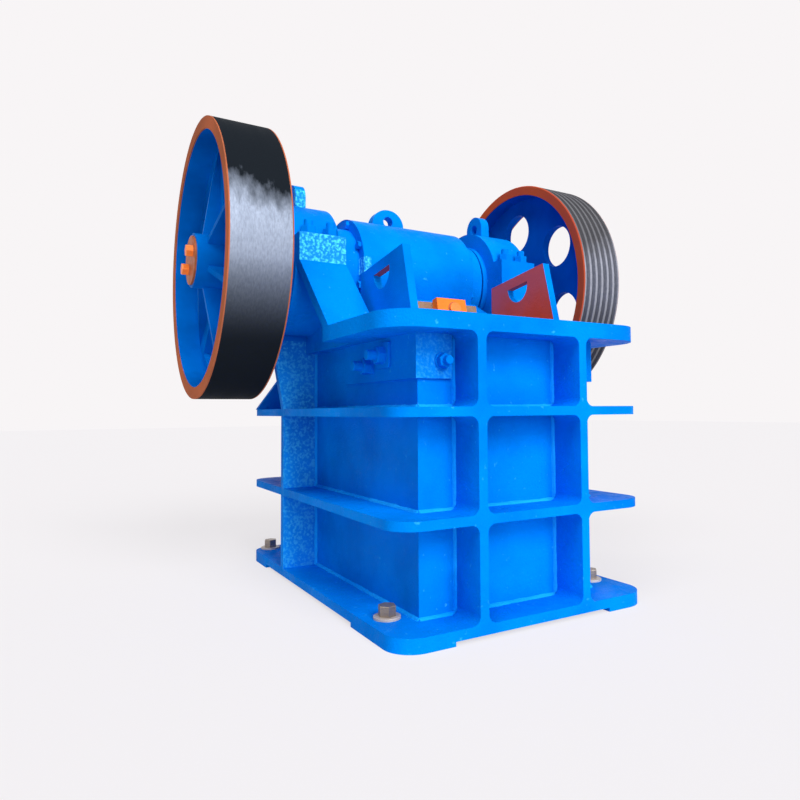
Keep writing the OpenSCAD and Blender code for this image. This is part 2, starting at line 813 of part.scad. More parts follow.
// Teeth of a jaw plate, drawn across the plate with the tips at zero.
function tooth_line(w) = [
    for (i = [0 : tooth_n - 1], p = [[0.0, 1], [0.28, 0], [0.72, 0], [1.0, 1]])
        [-w / 2 + (i + p[0]) * w / tooth_n, p[1] * tooth_depth]
];

module toothed_plate(w, l) {
    linear_extrude(l) polygon(concat(
        tooth_line(w), [[w / 2, jaw_plate_t], [-w / 2, jaw_plate_t]]
    ));
}

module swing_jaw_plate() {
    color(rust) translate([0, face_low_y, jaw_low_z]) rotate([-face_lean, 0, 0]) {
        translate([0, 0, plate_low]) toothed_plate(jaw_w, face_l - plate_low);
        translate([-tab_w / 2, tooth_depth, face_l])
            cube([tab_w, jaw_plate_t - tooth_depth, tab_h]);
    }
}

module clamp_block() {
    color(orange) translate([0, face_top_y, jaw_top_z]) rotate([-face_lean, 0, 0])
        translate([-clamp_w / 2, tooth_depth - clamp_d, clamp_gap])
            cube([clamp_w, clamp_d, clamp_h]);
}

module fixed_jaw_plate() {
    low_z = pad_h + fixed_plate_low;
    high_z = deck_z + fixed_plate_rise;
    color(rust) translate([0, chamber_front_y + jaw_plate_t, low_z]) mirror([0, 1, 0])
        toothed_plate(chamber_w - 2 * cheek_t - cheek_gap, high_z - low_z);
}

module cheek_plate(right) {
    front_y0 = chamber_front_y + cheek_gap;
    low_z = pad_h + cheek_low;
    color(primer) side(right) difference() {
        along_x(chamber_w / 2 - cheek_t, chamber_w / 2) polygon([
            [front_y0, low_z], [face_low_y + cheek_back_low, low_z],
            [cheek_rear_y, frame_h - cheek_knee], [cheek_rear_y, cheek_rear_z],
            [chamber_front_y + cheek_front_top, cheek_top_z],
            [chamber_front_y + cheek_front_low, frame_h], [front_y0, frame_h]
        ]);
        translate([chamber_w / 2, cheek_hole_y, cheek_hole_z])
            rotate([-cheek_slope, 0, 0]) intersection() {
                rotate([0, 90, 0])
                    cylinder(h = 4 * cheek_t, d = cheek_hole_d, center = true);
                translate([-2 * cheek_t, -cheek_hole_d, cheek_hole_flat - cheek_hole_d])
                    cube([4 * cheek_t, 2 * cheek_hole_d, cheek_hole_d]);
            }
    }
}

module toggle_plate() {
    lift = atan2(toggle_high_z - toggle_low_z, toggle_rear_y - nose_y);
    span = norm([toggle_high_z - toggle_low_z, toggle_rear_y - nose_y]);
    waist = toggle_t * toggle_waist;
    color(steel) translate([0, nose_y, toggle_low_z]) rotate([lift, 0, 0]) {
        translate([-toggle_w / 2, 0, -waist / 2]) cube([toggle_w, span, waist]);
        for (y = [0, span])
            translate([0, y, 0]) rotate([0, 90, 0])
                cylinder(h = toggle_w, d = toggle_t, center = true);
    }
}

module toggle_seat() {
    color(steel) difference() {
        translate([-toggle_w / 2 - seat_side, toggle_rear_y, toggle_high_z - seat_h / 2])
            cube([toggle_w + 2 * seat_side, seat_l, seat_h]);
        translate([0, toggle_rear_y, toggle_high_z]) rotate([0, 90, 0])
            cylinder(h = toggle_w + seat_side, d = toggle_t + seat_play, center = true);
    }
}

module adjusting_block() {
    color(steel) translate([-toggle_w / 2, toggle_rear_y + seat_l, toggle_high_z - block_low])
        cube([toggle_w, block_l, block_low + block_high]);
}

module spring_tube() {
    color(blue) difference() {
        translate([0, wall_rear_y + tube_l, rod_z]) rotate([90, 0, 0])
            cylinder(h = tube_l, d = tube_bore_d + 2 * tube_wall);
        translate([0, wall_rear_y + tube_l + cut, rod_z]) rotate([90, 0, 0])
            cylinder(h = tube_l + 2 * cut, d = tube_bore_d);
    }
}

module tension_rod() {
    color(steel) translate([0, rod_end_y, rod_z]) rotate([90, 0, 0])
        cylinder(h = rod_end_y - nose_y, d = rod_d);
}

module spring_washer() {
    color(steel) difference() {
        translate([0, washer_y + washer_t, rod_z]) rotate([90, 0, 0])
            cylinder(h = washer_t, d = spring_d + 2 * washer_rim);
        translate([0, washer_y + washer_t + cut, rod_z]) rotate([90, 0, 0])
            cylinder(h = washer_t + 2 * cut, d = rod_d + running_gap);
    }
}

// The wire of the spring: rings of points swept along a helix around the rod.
wire_sides = 8;
turn_steps = 20;
function coil_ring(k) = let(
    a = 360 * k / turn_steps,
    r = (spring_d - spring_wire_d) / 2,
    run = spring_l - spring_wire_d,
    y = spring_front_y + spring_wire_d / 2 + run * k / (turn_steps * spring_turns)
) [for (j = [0 : wire_sides - 1]) let(
    b = 360 * j / wire_sides,
    q = r + spring_wire_d / 2 * cos(b)
) [q * cos(a), y + spring_wire_d / 2 * sin(b), rod_z + q * sin(a)]];

module tension_spring() {
    rings = turn_steps * spring_turns;
    points = [for (k = [0 : rings]) each coil_ring(k)];
    side_faces = [for (k = [0 : rings - 1], j = [0 : wire_sides - 1]) [
        k * wire_sides + j, k * wire_sides + (j + 1) % wire_sides,
        (k + 1) * wire_sides + (j + 1) % wire_sides, (k + 1) * wire_sides + j
    ]];
    first_end = [for (j = [wire_sides - 1 : -1 : 0]) j];
    last_end = [for (j = [0 : wire_sides - 1]) rings * wire_sides + j];
    color(dark_steel) polyhedron(points, concat(side_faces, [first_end, last_end]));
}

front_wall();
side_wall(false);  // left_side_wall
side_wall(true);  // right_side_wall
rear_wall();
base_flange();
lower_band();
upper_band();
top_flange();
front_ribs();
rear_ribs();
side_ribs(false);  // left_side_ribs
side_ribs(true);  // right_side_ribs
corner_pad(false);  // left_corner_pad
corner_pad(true);  // right_corner_pad
bearing_seat(false);  // left_bearing_seat
bearing_seat(true);  // right_bearing_seat
bearing_cap(false);  // left_bearing_cap
bearing_cap(true);  // right_bearing_cap
bearing(false);  // left_bearing
bearing(true);  // right_bearing
inner_cover(false);  // left_inner_cover
inner_cover(true);  // right_inner_cover
outer_cover(false);  // left_outer_cover
outer_cover(true);  // right_outer_cover
eccentric_shaft();
flywheel();
pulley();
flywheel_end_plate();
pulley_end_plate();
swing_jaw();
jaw_ring(false);  // left_jaw_ring
jaw_ring(true);  // right_jaw_ring
swing_jaw_plate();
clamp_block();
fixed_jaw_plate();
cheek_plate(false);  // left_cheek_plate
cheek_plate(true);  // right_cheek_plate
toggle_plate();
toggle_seat();
adjusting_block();
spring_tube();
tension_rod();
tension_spring();
spring_washer();
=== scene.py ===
import json
import math
import random

import bmesh
import bpy
from mathutils import Matrix, Vector


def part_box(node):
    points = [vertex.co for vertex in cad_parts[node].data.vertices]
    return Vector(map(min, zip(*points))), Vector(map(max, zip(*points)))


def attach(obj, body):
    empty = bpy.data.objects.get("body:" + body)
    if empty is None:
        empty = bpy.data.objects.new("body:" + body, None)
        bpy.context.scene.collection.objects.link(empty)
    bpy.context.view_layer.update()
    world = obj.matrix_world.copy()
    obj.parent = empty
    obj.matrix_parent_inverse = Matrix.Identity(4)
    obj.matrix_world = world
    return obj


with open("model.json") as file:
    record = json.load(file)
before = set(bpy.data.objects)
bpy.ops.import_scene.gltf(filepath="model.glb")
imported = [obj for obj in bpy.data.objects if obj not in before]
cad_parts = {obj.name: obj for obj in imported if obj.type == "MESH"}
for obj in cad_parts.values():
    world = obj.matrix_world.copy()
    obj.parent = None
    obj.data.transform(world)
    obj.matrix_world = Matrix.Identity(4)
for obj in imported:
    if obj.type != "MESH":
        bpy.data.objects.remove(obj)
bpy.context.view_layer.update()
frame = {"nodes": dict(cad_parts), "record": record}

random.seed(7)

# The photograph's view, fitted to the flanges and walls of the machine
IMAGE_SIDE = 800
FOCAL_PIXELS = 652.9
CENTRE_X = 438.7
CENTRE_Y = 380.61
CAMERA_PLACE = (-1.3652, -2.5064, 0.6971)
CAMERA_YAW = math.radians(30.99)
CAMERA_PITCH = math.radians(2.66)
CAMERA_ROLL = math.radians(-0.44)
SENSOR_MM = 36.0

# Places that the solids give, in metres
SHAFT_Y = sum(v[1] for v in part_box("flywheel")) / 2
SHAFT_Z = sum(v[2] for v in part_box("flywheel")) / 2
WHEEL_R = (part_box("flywheel")[1][2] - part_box("flywheel")[0][2]) / 2
BASE_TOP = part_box("base_flange")[1][2]
FRAME_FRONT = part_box("base_flange")[0][1]
LOWER_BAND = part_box("lower_band")
UPPER_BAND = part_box("upper_band")
TOP_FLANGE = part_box("top_flange")
FRAME_TOP = TOP_FLANGE[1][2]
WALL_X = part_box("right_side_wall")[1][0]
WALL_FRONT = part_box("front_wall")[0][1]
WALL_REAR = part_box("right_side_wall")[1][1]
LEFT_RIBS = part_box("left_side_ribs")
LEFT_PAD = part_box("left_corner_pad")
PAD_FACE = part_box("right_corner_pad")[1][0]
HOUSING_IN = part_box("right_bearing_cap")[0][0]
HOUSING_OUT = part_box("right_bearing_cap")[1][0]
HOUSING_MID = (HOUSING_IN + HOUSING_OUT) / 2

# Height of the bearing caps' ears above the shaft
EAR_RISE = 0.086
EAR_TOP = SHAFT_Z + EAR_RISE

X, Y, Z = Vector((1, 0, 0)), Vector((0, 1, 0)), Vector((0, 0, 1))


def make_camera():
    data = bpy.data.cameras.new("photo_camera")
    data.sensor_width = SENSOR_MM
    data.lens = SENSOR_MM * FOCAL_PIXELS / IMAGE_SIDE
    data.shift_x = (IMAGE_SIDE / 2 - CENTRE_X) / IMAGE_SIDE
    data.shift_y = (CENTRE_Y - IMAGE_SIDE / 2) / IMAGE_SIDE
    camera = bpy.data.objects.new("photo_camera", data)
    bpy.context.collection.objects.link(camera)
    look = Vector((
        math.sin(CAMERA_YAW) * math.cos(CAMERA_PITCH),
        math.cos(CAMERA_YAW) * math.cos(CAMERA_PITCH),
        math.sin(CAMERA_PITCH),
    ))
    turn = look.to_track_quat("-Z", "Y").to_matrix().to_4x4()
    roll = Matrix.Rotation(CAMERA_ROLL, 4, "Z")
    camera.matrix_world = Matrix.Translation(CAMERA_PLACE) @ turn @ roll
    bpy.context.scene.camera = camera


# Nodes that the materials are made of

def add(tree, kind, inputs=None, **settings):
    """A new node; inputs maps a socket's name or number to a value or to a source socket."""
    node = tree.nodes.new(kind)
    for key, value in settings.items():
        setattr(node, key, value)
    for key, value in (inputs or {}).items():
        socket = node.inputs[key]
        if isinstance(value, bpy.types.NodeSocket):
            tree.links.new(value, socket)
        else:
            socket.default_value = value
    return node


def maths(tree, operation, *values):
    return add(tree, "ShaderNodeMath", dict(enumerate(values)), operation=operation).outputs[0]


def blend(tree, mask, low, high):
    """The low colour where the mask is zero, the high one where it is one."""
    node = add(tree, "ShaderNodeMix", {0: mask, 6: low, 7: high}, data_type="RGBA")
    return node.outputs[2]


def place_on_machine(tree):
    """The X, Y and Z outputs of a point's place, in metres."""
    place = add(tree, "ShaderNodeTexCoord").outputs["Object"]
    return add(tree, "ShaderNodeSeparateXYZ", {0: place}).outputs


def noise(tree, scale, detail, stretch=(1, 1, 1)):
    place = add(tree, "ShaderNodeTexCoord").outputs["Object"]
    moved = add(tree, "ShaderNodeMapping", {"Vector": place, "Scale": stretch}).outputs[0]
    node = add(tree, "ShaderNodeTexNoise", {"Vector": moved, "Scale": scale, "Detail": detail})
    return node.outputs["Fac"]


def ramp(tree, value, low, high):
    """Zero below low, one above high."""
    return add(tree, "ShaderNodeMapRange", {
        "Value": value, "From Min": low, "From Max": high, "To Min": 0.0, "To Max": 1.0,
    }, clamp=True).outputs[0]


def new_group(name, inputs, outputs):
    tree = bpy.data.node_groups.new(name, "ShaderNodeTree")
    for label, kind, value in inputs:
        socket = tree.interface.new_socket(label, in_out="INPUT", socket_type=kind)
        socket.default_value = value
    for label, kind in outputs:
        tree.interface.new_socket(label, in_out="OUTPUT", socket_type=kind)
    return tree, tree.nodes.new("NodeGroupInput"), tree.nodes.new("NodeGroupOutput")


# The skin of a painted or cast surface: how deep its bumps are, and the weight of its lumps
# against its fine grain
SKIN_DEPTH = 0.004
LUMPS = 1.4


def finish_group():
    """Mottled colour, uneven gloss and a lumpy, slightly rough skin."""
    tree, given, out = new_group("finish", [
        ("Colour", "NodeSocketColor", (0.5, 0.5, 0.5, 1)),
        ("Shade", "NodeSocketColor", (0.2, 0.2, 0.2, 1)),
        ("Gloss low", "NodeSocketFloat", 0.25), ("Gloss high", "NodeSocketFloat", 0.5),
        ("Relief", "NodeSocketFloat", 0.3),
    ], [("Colour", "NodeSocketColor"), ("Roughness", "NodeSocketFloat"),
        ("Normal", "NodeSocketVector")])
    mottled = ramp(tree, noise(tree, scale=3.5, detail=4.0), low=0.3, high=0.62)
    tree.links.new(blend(tree, mottled, given.outputs["Shade"], given.outputs["Colour"]),
                   out.inputs["Colour"])
    patches = ramp(tree, noise(tree, scale=18.0, detail=5.0), low=0.35, high=0.65)
    span = maths(tree, "SUBTRACT", given.outputs["Gloss high"], given.outputs["Gloss low"])
    rough = maths(tree, "MULTIPLY_ADD", patches, span, given.outputs["Gloss low"])
    tree.links.new(rough, out.inputs["Roughness"])
    lumps = maths(tree, "MULTIPLY", noise(tree, scale=34.0, detail=4.0), LUMPS)
    height = maths(tree, "ADD", lumps, noise(tree, scale=150.0, detail=2.0))
    bump = add(tree, "ShaderNodeBump", {
        "Strength": given.outputs["Relief"], "Distance": SKIN_DEPTH, "Height": height})
    tree.links.new(bump.outputs[0], out.inputs["Normal"])
    return tree


# The inner sides of both rims along the shaft, how far in from a rim's sides its bare edges
# are counted, just past the chamfers, and how far past the rim's depth its bare sides are
RIM_IN_X = 0.659
RIM_EDGE = 0.0045
RIM_SPARE = 0.001


def wheel_group():
    """Masks of a wheel: its turned outer face, and the bare side faces of its rim."""
    tree, given, out = new_group("wheel_zones", [
        ("Rim depth", "NodeSocketFloat", 0.046), ("Face depth", "NodeSocketFloat", 0.002),
        ("Inner x", "NodeSocketFloat", 0.66), ("Outer x", "NodeSocketFloat", 0.874),
    ], [("Face", "NodeSocketFloat"), ("Side", "NodeSocketFloat"),
        ("Height", "NodeSocketFloat")])
    place = place_on_machine(tree)
    dy = maths(tree, "SUBTRACT", place["Y"], SHAFT_Y)
    dz = maths(tree, "SUBTRACT", place["Z"], SHAFT_Z)
    radius = maths(tree, "SQRT", maths(tree, "ADD", maths(tree, "MULTIPLY", dy, dy),
                                       maths(tree, "MULTIPLY", dz, dz)))
    along = maths(tree, "ABSOLUTE", place["X"])
    in_rim = maths(tree, "GREATER_THAN", radius, maths(
        tree, "SUBTRACT", WHEEL_R - RIM_SPARE, given.outputs["Rim depth"]))
    past_in = maths(tree, "GREATER_THAN", along, maths(
        tree, "ADD", given.outputs["Inner x"], RIM_EDGE))
    past_out = maths(tree, "LESS_THAN", along, maths(
        tree, "SUBTRACT", given.outputs["Outer x"], RIM_EDGE))
    deep = maths(tree, "GREATER_THAN", radius, maths(
        tree, "SUBTRACT", WHEEL_R, given.outputs["Face depth"]))
    middle = maths(tree, "MULTIPLY", past_in, past_out)
    face = maths(tree, "MULTIPLY", deep, middle)
    side = maths(tree, "MULTIPLY", in_rim, maths(tree, "SUBTRACT", 1.0, middle))
    tree.links.new(face, out.inputs["Face"])
    tree.links.new(side, out.inputs["Side"])
    tree.links.new(dz, out.inputs["Height"])
    return tree


# How far a patch of painted glints reaches before and behind a front face
GLINT_PATCH_SKIN = 0.002
# Painted glints: pale flecks painted as highlights where light catches rough, thick paint;
# the low and the high corner of each patch, and how strong its glints are
GLINT_PATCHES = (
    ((-0.57, -0.170, SHAFT_Z - 0.022), (-0.37, -0.160, EAR_TOP), 1.0),  # left bearing's ears
    ((-0.50, 0.080, 1.54), (-0.44, 0.115, 1.63), 1.0),  # left lifting lug
    ((-0.27, -0.110, 1.26), (-0.235, -0.050, 1.33), 1.0),  # left end of the barrel
    ((LEFT_PAD[0][0], LEFT_PAD[0][1] - GLINT_PATCH_SKIN, LEFT_PAD[0][2]),
     (LEFT_PAD[1][0], LEFT_PAD[0][1] + GLINT_PATCH_SKIN, LEFT_PAD[1][2]), 0.2),  # front of the pad
    ((LEFT_RIBS[0][0], LEFT_RIBS[0][1] - GLINT_PATCH_SKIN, BASE_TOP),
     (LEFT_RIBS[1][0], LEFT_RIBS[0][1] + GLINT_PATCH_SKIN, FRAME_TOP), 0.4),  # flared rib
)
# The painted glints: the mask between the flecks of a patch, what its flecks add, and the few
# flecks elsewhere
GLINT_PATCH_GROUND = 0.1
PATCH_GLINTS = 0.75
STRAY_GLINTS = 0.22


def glint_group():
    """A mask of painted glints, pale flecks of highlight: thick inside the patches, a few
    elsewhere.
    """
    tree, _, out = new_group("painted_glints", [], [("Mask", "NodeSocketFloat")])
    place = place_on_machine(tree)
    patch_glints = ramp(tree, noise(tree, scale=95.0, detail=8.0), low=0.46, high=0.64)
    patch_glints = maths(tree, "MULTIPLY_ADD", patch_glints, PATCH_GLINTS, GLINT_PATCH_GROUND)
    stray_glints = ramp(tree, noise(tree, scale=55.0, detail=6.0), low=0.66, high=0.76)
    mask = maths(tree, "MULTIPLY", stray_glints, STRAY_GLINTS)
    for low, high, strength in GLINT_PATCHES:
        inside = maths(tree, "MULTIPLY", patch_glints, strength)
        for axis, start, end in zip("XYZ", low, high):
            past = maths(tree, "GREATER_THAN", place[axis], start)
            short = maths(tree, "LESS_THAN", place[axis], end)
            inside = maths(tree, "MULTIPLY", inside, maths(tree, "MULTIPLY", past, short))
        mask = maths(tree, "MAXIMUM", mask, inside)
    tree.links.new(mask, out.inputs["Mask"])
    return tree


# Colours of the finishes, and the shades that mottle them
BLUE = (0.0, 0.240, 0.84)
BLUE_SHADE = (0.0, 0.160, 0.64)
# Blue of the weld beads, brighter than the enamel: a painted highlight
WELD_HIGHLIGHT_BLUE = (0.01, 0.42, 1.0)
# Insides of the flywheel and the pulley: the blue enamel darkened as painted shade
FLYWHEEL_SHADED_BLUE = (0.0, 0.175, 0.66)
FLYWHEEL_SHADED_MOTTLE = (0.0, 0.085, 0.36)
PULLEY_SHADED_BLUE = (0.0, 0.110, 0.60)
PULLEY_SHADED_MOTTLE = (0.0, 0.060, 0.40)
# Pale cyan of the painted glints
PAINTED_GLINT = (0.10, 0.80, 1.0)
SHEEN = (0.12, 0.62, 1.0)
ORANGE = (1.0, 0.25, 0.03)
ORANGE_SHADE = (0.8, 0.14, 0.02)
PRIMER_TOP = (0.60, 0.115, 0.15)
PRIMER_LOW = (0.74, 0.080, 0.020)
RIM_BROWN = (0.48, 0.135, 0.058)
RIM_DARK = (0.34, 0.105, 0.050)
RIM_RED = (0.56, 0.092, 0.030)
RIM_RED_SHADE = (0.47, 0.075, 0.045)
RUST = (0.36, 0.105, 0.036)
BOLT = (0.34, 0.29, 0.25)
BOLT_SHADE = (0.20, 0.16, 0.13)
WASHER = (0.62, 0.57, 0.52)
WASHER_SHADE = (0.42, 0.37, 0.33)
JAW_IRON = (0.32, 0.19, 0.12)
JAW_IRON_SHADE = (0.12, 0.08, 0.06)
BARE_STEEL = (0.36, 0.36, 0.37)
BARE_SHADE = (0.24, 0.23, 0.23)

# Belt faces: the dark ground, and the darker and the paler scratches of the polished front,
# drawn as a painted sheen
FLYWHEEL_FACE_AND_SHEEN = ((0.010, 0.013, 0.017), (0.18, 0.21, 0.27), (0.27, 0.31, 0.385))
PULLEY_FACE_AND_SHEEN = ((0.13, 0.13, 0.14), (0.24, 0.25, 0.29), (0.34, 0.35, 0.40))

# Specular levels of the paints, and the ranges of roughness of the finishes
BLUE_SPECULAR = 0.005
ORANGE_SPECULAR = 0.1
ENAMEL_GLOSS = (0.24, 0.5)
ORANGE_GLOSS = (0.35, 0.55)
CHEEK_GLOSS = (0.25, 0.45)
WHEEL_PAINT_GLOSS = (0.25, 0.5)
RIM_GLOSS = (0.5, 0.75)


def new_material(name):
    m = bpy.data.materials.new(name)
    m.use_nodes = True
    return m, m.node_tree, m.node_tree.nodes["Principled BSDF"]


def use_finish(tree, colour, shade, gloss, relief):
    return add(tree, "ShaderNodeGroup", {
        "Colour": (*colour, 1), "Shade": (*shade, 1), "Gloss low": gloss[0],
        "Gloss high": gloss[1], "Relief": relief}, node_tree=FINISH)


def dress(name, colour, shade, gloss, relief, metal=0.0):
    """A material with one finish all over."""
    m, tree, shader = new_material(name)
    skin = use_finish(tree, colour, shade, gloss, relief)
    tree.links.new(skin.outputs["Colour"], shader.inputs["Base Color"])
    tree.links.new(skin.outputs["Roughness"], shader.inputs["Roughness"])
    tree.links.new(skin.outputs["Normal"], shader.inputs["Normal"])
    shader.inputs["Metallic"].default_value = metal
    return m


def paint_sheen(shader):
    """The weak, blue reflections of the enamel."""
    shader.inputs["Specular IOR Level"].default_value = BLUE_SPECULAR
    shader.inputs["Specular Tint"].default_value = (*SHEEN, 1)


def blue_material():
    """Blue enamel with painted glints, pale flecks of highlight."""
    m = dress("blue_paint", BLUE, BLUE_SHADE, ENAMEL_GLOSS, relief=0.35)
    tree = m.node_tree
    shader = tree.nodes["Principled BSDF"]
    plain = shader.inputs["Base Color"].links[0].from_socket
    mask = add(tree, "ShaderNodeGroup", node_tree=PAINTED_GLINTS).outputs["Mask"]
    tree.links.new(blend(tree, mask, plain, (*PAINTED_GLINT, 1)), shader.inputs["Base Color"])
    paint_sheen(shader)
    return m


def weld_material():
    """Blue enamel made brighter as a painted highlight, with deeper bumps, for the weld beads.
    """
    m = dress("weld_paint_with_painted_highlight", WELD_HIGHLIGHT_BLUE, BLUE, gloss=(0.2, 0.4), relief=0.6)
    paint_sheen(m.node_tree.nodes["Principled BSDF"])
    return m


def orange_material():
    """Orange enamel; the end plates of the shaft are rusty."""
    m = dress("orange_paint", ORANGE, ORANGE_SHADE, ORANGE_GLOSS, relief=0.3)
    tree = m.node_tree
    shader = tree.nodes["Principled BSDF"]
    plain = shader.inputs["Base Color"].links[0].from_socket
    along = maths(tree, "ABSOLUTE", place_on_machine(tree)["X"])
    outer = maths(tree, "GREATER_THAN", along, HOUSING_OUT)
    rusty = ramp(tree, noise(tree, scale=30.0, detail=4.0), low=0.4, high=0.6)
    rust = blend(tree, rusty, (*RUST, 1), (*RIM_BROWN, 1))
    tree.links.new(blend(tree, outer, plain, rust), shader.inputs["Base Color"])
    shader.inputs["Specular IOR Level"].default_value = ORANGE_SPECULAR
    return m


# The cheek plates' primer: heights above the frame between which it turns from the low to
# the top colour, how far that wanders, how much rougher it is than the paint, and how
# squarely a face looks towards the chamber or down to be primed
PRIMER_TURNS = (0.09, 0.27)
PRIMER_WANDER = 0.16
CHEEK_ROUGH = 0.35
PRIMER_ROUGHER = 0.35
SQUARELY = 0.5


def cheek_material():
    """Primer towards the chamber and at the top of the hole, blue paint elsewhere."""
    m, tree, shader = new_material("cheek_primer_and_paint")
    blue = use_finish(tree, BLUE, BLUE_SHADE, CHEEK_GLOSS, relief=0.25)
    place = place_on_machine(tree)
    wandering = maths(tree, "MULTIPLY_ADD", noise(tree, scale=9.0, detail=4.0),
                      PRIMER_WANDER, place["Z"])
    height = ramp(tree, wandering, *(FRAME_TOP + turn for turn in PRIMER_TURNS))
    red = blend(tree, height, (*PRIMER_LOW, 1), (*PRIMER_TOP, 1))
    facing = add(tree, "ShaderNodeSeparateXYZ",
                 {0: add(tree, "ShaderNodeNewGeometry").outputs["True Normal"]}).outputs
    outward = maths(tree, "MULTIPLY", maths(tree, "SIGN", place["X"]), facing["X"])
    towards_chamber = maths(tree, "LESS_THAN", outward, -SQUARELY)
    hole_top = maths(tree, "LESS_THAN", facing["Z"], -SQUARELY)
    primed = maths(tree, "MAXIMUM", towards_chamber, hole_top)
    tree.links.new(blend(tree, primed, blue.outputs["Colour"], red),
                   shader.inputs["Base Color"])
    paint_sheen(shader)
    rough = maths(tree, "MULTIPLY_ADD", primed, PRIMER_ROUGHER, CHEEK_ROUGH)
    tree.links.new(rough, shader.inputs["Roughness"])
    tree.links.new(blue.outputs["Normal"], shader.inputs["Normal"])
    return m


# The polished front of the belt faces, a painted sheen on a front that the shader makes
# partly metallic: its faded lower and its ragged upper edge, both from the shaft's height,
# how much the upper one slopes down towards the frame, and how metallic the front is
SHEEN_ZONE_LOW = (-0.36, -0.08)
SHEEN_ZONE_HIGH = (0.14, 0.26)
SHEEN_ZONE_RAGGED = 0.06
SHEEN_ZONE_SLOPE = 0.35
POLISH_METAL = 0.5

# Roughness of a wheel's paint, and what its rim sides, belt face and streaks add
WHEEL_ROUGH = 0.36
RIM_ROUGHER = 0.25
FACE_ROUGHER = 0.14
STREAKS_ROUGHER = 0.06


def wheel_material(name, outer_x, rim_depth, face_depth, face, inside, sides):
    """Paint inside, whose darkness is painted shade, rusty rim sides and a turned belt face
    whose polished front is a painted sheen.
    """
    m, tree, shader = new_material(name)
    zones = add(tree, "ShaderNodeGroup", {
        "Rim depth": rim_depth, "Face depth": face_depth, "Inner x": RIM_IN_X,
        "Outer x": outer_x}, node_tree=WHEEL_ZONES).outputs
    paint = use_finish(tree, *inside, WHEEL_PAINT_GLOSS, relief=0.12)
    iron = use_finish(tree, *sides, RIM_GLOSS, relief=0.35)
    inward = maths(tree, "SUBTRACT", outer_x,
                   maths(tree, "ABSOLUTE", place_on_machine(tree)["X"]))
    smears = ramp(tree, noise(tree, scale=20.0, detail=9.0, stretch=(2, 1, 1)),
                  low=0.3, high=0.7)
    # The polished front's pale colour is a painted sheen; its metallic part comes from the
    # shader
    edge = maths(tree, "MULTIPLY_ADD", inward, SHEEN_ZONE_SLOPE, zones["Height"])
    edge = maths(tree, "MULTIPLY_ADD", smears, SHEEN_ZONE_RAGGED, edge)
    low = ramp(tree, zones["Height"], *SHEEN_ZONE_LOW)
    high = maths(tree, "SUBTRACT", 1.0, ramp(tree, edge, *SHEEN_ZONE_HIGH))
    polish_and_sheen = maths(tree, "MULTIPLY", maths(tree, "MULTIPLY", low, low), high)
    scratches = ramp(tree, noise(tree, scale=14.0, detail=9.0, stretch=(14, 5, 5)),
                     low=0.25, high=0.75)
    # The dark ground, and the darker and the paler tones of the painted sheen
    ground, sheen_darker, sheen_paler = ((*tone, 1) for tone in face)
    turned_with_sheen = blend(tree, polish_and_sheen, ground, blend(tree, scratches, sheen_darker, sheen_paler))
    colour = blend(tree, zones["Side"], paint.outputs["Colour"], iron.outputs["Colour"])
    tree.links.new(blend(tree, zones["Face"], colour, turned_with_sheen), shader.inputs["Base Color"])
    bare = maths(tree, "MULTIPLY", zones["Face"], polish_and_sheen)
    tree.links.new(maths(tree, "MULTIPLY", bare, POLISH_METAL), shader.inputs["Metallic"])
    paint_sheen(shader)
    streaks = ramp(tree, noise(tree, scale=3.0, detail=7.0, stretch=(16, 1.2, 1.2)),
                   low=0.34, high=0.66)
    rough = maths(tree, "MULTIPLY_ADD", zones["Side"], RIM_ROUGHER, WHEEL_ROUGH)
    rough = maths(tree, "MULTIPLY_ADD", zones["Face"], FACE_ROUGHER, rough)
    streaked = maths(tree, "MULTIPLY", zones["Face"], streaks)
    rough = maths(tree, "MULTIPLY_ADD", streaked, STREAKS_ROUGHER, rough)
    tree.links.new(rough, shader.inputs["Roughness"])
    tree.links.new(paint.outputs["Normal"], shader.inputs["Normal"])
    return m


# Shapes that the pieces are made of

def piece(name, body, material, shape):
    """Turns a bmesh into a piece that rides on a body."""
    mesh = bpy.data.meshes.new(name)
    shape.to_mesh(mesh)
    shape.free()
    o = bpy.data.objects.new(name, mesh)
    bpy.context.collection.objects.link(o)
    o.data.materials.append(material)
    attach(o, body)


def round_edges(shape, edges, width):
    bmesh.ops.bevel(shape, geom=list(edges), offset=width, offset_type="OFFSET",
                    affect="EDGES", segments=2, profile=0.5, material=-1)


def post(shape, foot, axis, radius, height, sides, chamfer=0.0, turn=0.0):
    """A round or many-sided post that stands on foot, along axis."""
    spin = axis.to_track_quat("Z", "Y").to_matrix().to_4x4() @ Matrix.Rotation(turn, 4, "Z")
    place = Matrix.Translation(Vector(foot) + axis * height / 2) @ spin
    made = bmesh.ops.create_cone(
        shape, cap_ends=True, segments=sides, radius1=radius, radius2=radius,
        depth=height, matrix=place)["verts"]
    if chamfer:
        top = [v for v in made if (v.co - Vector(foot)).dot(axis) > height / 2]
        edges = {e for v in top for e in v.link_edges if all(w in top for w in e.verts)}
        round_edges(shape, edges, chamfer)


def block(shape, low, high, chamfer):
    """A box between two corners."""
    low, high = Vector(low), Vector(high)
    place = Matrix.Translation((low + high) / 2) @ Matrix.Diagonal((*(high - low), 1))
    made = bmesh.ops.create_cube(shape, size=1, matrix=place)["verts"]
    round_edges(shape, {e for v in made for e in v.link_edges}, chamfer)


# Shares of a thread's size: its nut's height and width, and the chamfer of its stud; and
# the chamfer of a hexagon as a share of its width
NUT_HEIGHT = 0.8
NUT_WIDTH = 1.55
STUD_CHAMFER = 0.08
HEX_CHAMFER = 0.05


def hex_head(shape, foot, axis, width, height, turn):
    """A bolt head or nut: width across the flats."""
    post(shape, foot, axis, width / math.sqrt(3), height, sides=6,
         chamfer=width * HEX_CHAMFER, turn=turn)


